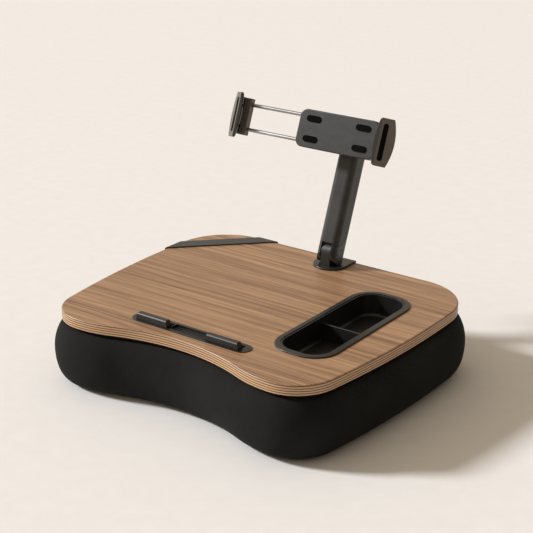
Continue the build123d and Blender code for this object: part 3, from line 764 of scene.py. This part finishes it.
hemPiece = makeHem()
hemPiece.data.materials.append(knit)
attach(hemPiece, "desk")
print("hem made:", len(hemPiece.data.polygons), "faces")


# elastic strap across the rear left corner
strap = {
    "width": 0.026,
    "thickness": 0.0015,
    "heading": (1, 1),  # seen from above
    "lineOffset": 0.253,  # from the desk's middle to the band's middle line
    "lift": 0.0003,
    "tail": 0.046,
    "tailSteps": 8,
    "corner": 0.0016,
    "cornerSteps": 4,
    "edgeShares": (0.35, 0.5, 0.65),
    "spanSteps": 30,
    "columns": 14,
}


# where a line enters and leaves an outline, as lengths along its heading
def edgeReach(ring, base, heading):
    reach = []
    for start, end in zip(ring, ring[1:] + ring[:1]):
        along = Vector(end) - Vector(start)
        cross = heading.x * along.y - heading.y * along.x
        if abs(cross) < tiny:
            continue
        gap = Vector(start) - base
        share = (gap.x * heading.y - gap.y * heading.x) / cross
        if 0 <= share < 1:
            reach.append((gap.x * along.y - gap.y * along.x) / cross)
    return min(reach), max(reach)


# one half of the strap in its own plane: tail under the board, round the edge, up to the top
def strapSide(end, sign):
    strapLow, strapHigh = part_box("elastic_strap")
    half = strap["thickness"] / 2
    low, high = strapLow.z + half, strapHigh.z - half
    radius, tailSteps = strap["corner"], strap["tailSteps"]
    angles = np.linspace(0, quarterTurn, strap["cornerSteps"] + 1)
    side = [(end + sign * strap["tail"] * (1 - k / tailSteps), low) for k in range(tailSteps)]
    for a in angles:
        side.append((end + sign * radius * (1 - math.sin(a)), low + radius * (1 - math.cos(a))))
    side += [(end, low + (high - low) * share) for share in strap["edgeShares"]]
    for a in angles:
        side.append((end + sign * radius * (1 - math.cos(a)), high - radius * (1 - math.sin(a))))
    return side


def strapColumn(ring, base, heading):
    first, last = edgeReach(ring, base, heading)
    leftSide, rightSide = strapSide(first, 1), strapSide(last, -1)
    (spanStart, top), (spanEnd, _) = leftSide[-1], rightSide[-1]
    steps = strap["spanSteps"]
    span = [(spanStart + (spanEnd - spanStart) * k / steps, top) for k in range(1, steps)]
    path = leftSide + span + list(reversed(rightSide))
    return [(*(base + heading * place), z) for place, z in path]


def makeStrap():
    heading = Vector(strap["heading"]).normalized()
    across = Vector((-heading.y, heading.x))
    ring = outlineRing(strap["lift"] + strap["thickness"] / 2)
    columns = []
    for number in range(strap["columns"] + 1):
        offset = strap["lineOffset"] + strap["width"] * (number / strap["columns"] - 0.5)
        columns.append(strapColumn(ring, across * offset, heading))
    size = len(columns[0])
    verts = [point for column in columns for point in column]
    faces = []
    for column in range(strap["columns"]):
        for k in range(size - 1):
            corner = column * size + k
            faces.append((corner, corner + 1, corner + size + 1, corner + size))
    piece = linkMesh("elasticBand", verts, faces)
    middle = columns[strap["columns"] // 2]
    length = sum((Vector(b) - Vector(a)).length for a, b in zip(middle, middle[1:]))
    solid = piece.modifiers.new("Thickness", "SOLIDIFY")
    solid.thickness = strap["thickness"]
    solid.offset = 0
    applyModifiers(piece)
    return piece, length


strapPiece, strapLength = makeStrap()
strapPiece.data.materials.append(elastic)
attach(strapPiece, "desk")
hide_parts("elastic_strap")
print("strap made:", round(strapLength, 4), "m long")


# floor, light and camera
stage = {
    "floorSize": 300.0,
    "floorColor": (0.82, 0.80, 0.775),
    "floorShade": 0.97,  # of the colour, in its darker clouds
    "floorCloud": 40.0,
    "floorDetail": 4,
    "floorRough": 0.9,
    "worldColor": (1.0, 0.85, 0.67),
    "worldStrength": 0.50,
    "worldFall": 0.32,  # the room is brighter on the left and dimmer on the right by this
    "keyPlace": (-6.2, -3.1, 4.2),
    "keyAngle": 0.16,  # soft edge of the key light's shadow, in radians
    "keyPower": 3.98,
    "keyColor": (0.93, 0.955, 1.0),
}


def makeFloor():
    half = stage["floorSize"] / 2
    corners = [(-half, -half, 0), (half, -half, 0), (half, half, 0), (-half, half, 0)]
    piece = linkMesh("paleFloor", corners, [(0, 1, 2, 3)])
    material, tree, shader, coords = newMaterial("paleFloor")
    cloud = noiseNode(tree, coords, stage["floorCloud"], stage["floorDetail"])
    pale = stage["floorColor"]
    darker = tuple(stage["floorShade"] * value for value in pale)
    color = mixColor(tree, rangeNode(tree, cloud, noiseSpan, fullSpan), darker, pale)
    tree.links.new(color, shader.inputs["Base Color"])
    setSockets(shader, {"Roughness": stage["floorRough"]})
    piece.data.materials.append(material)


def makeWorld():
    world = bpy.data.worlds.new("studio")
    world.use_nodes = True
    tree = world.node_tree
    background = tree.nodes["Background"]
    background.inputs["Color"].default_value = (*stage["worldColor"], 1)
    rightward = splitVector(tree, tree.nodes.new("ShaderNodeTexCoord").outputs["Generated"])["X"]
    middle, fall = stage["worldStrength"], stage["worldFall"]
    strength = rangeNode(tree, rightward, (-1, 1), (middle + fall, middle - fall))
    tree.links.new(strength, background.inputs["Strength"])
    scene.world = world


def makeKeyLight():
    lamp = bpy.data.lights.new("key", "SUN")
    lamp.energy = stage["keyPower"]
    lamp.angle = stage["keyAngle"]
    lamp.color = stage["keyColor"]
    key = bpy.data.objects.new("key", lamp)
    scene.collection.objects.link(key)
    key.location = stage["keyPlace"]
    gaze = Vector((0, 0, boardHigh.z)) - key.location
    key.rotation_euler = gaze.to_track_quat("-Z", "Y").to_euler()


view = {
    "azimuth": 36.372,
    "elevation": 21.25,
    "place": (1.1112, -1.4920, 0.8918),
    "lens": 91.18,
    "sensor": 36.0,
}


def makeCamera():
    data = bpy.data.cameras.new("camera")
    data.lens = view["lens"]
    data.sensor_width = view["sensor"]
    camera = bpy.data.objects.new("camera", data)
    scene.collection.objects.link(camera)
    camera.location = view["place"]
    camera.rotation_euler = (math.radians(90 - view["elevation"]), 0, math.radians(view["azimuth"]))
    scene.camera = camera


makeFloor()
makeWorld()
makeKeyLight()
makeCamera()
scene.view_settings.view_transform = "Standard"
print("stage set")
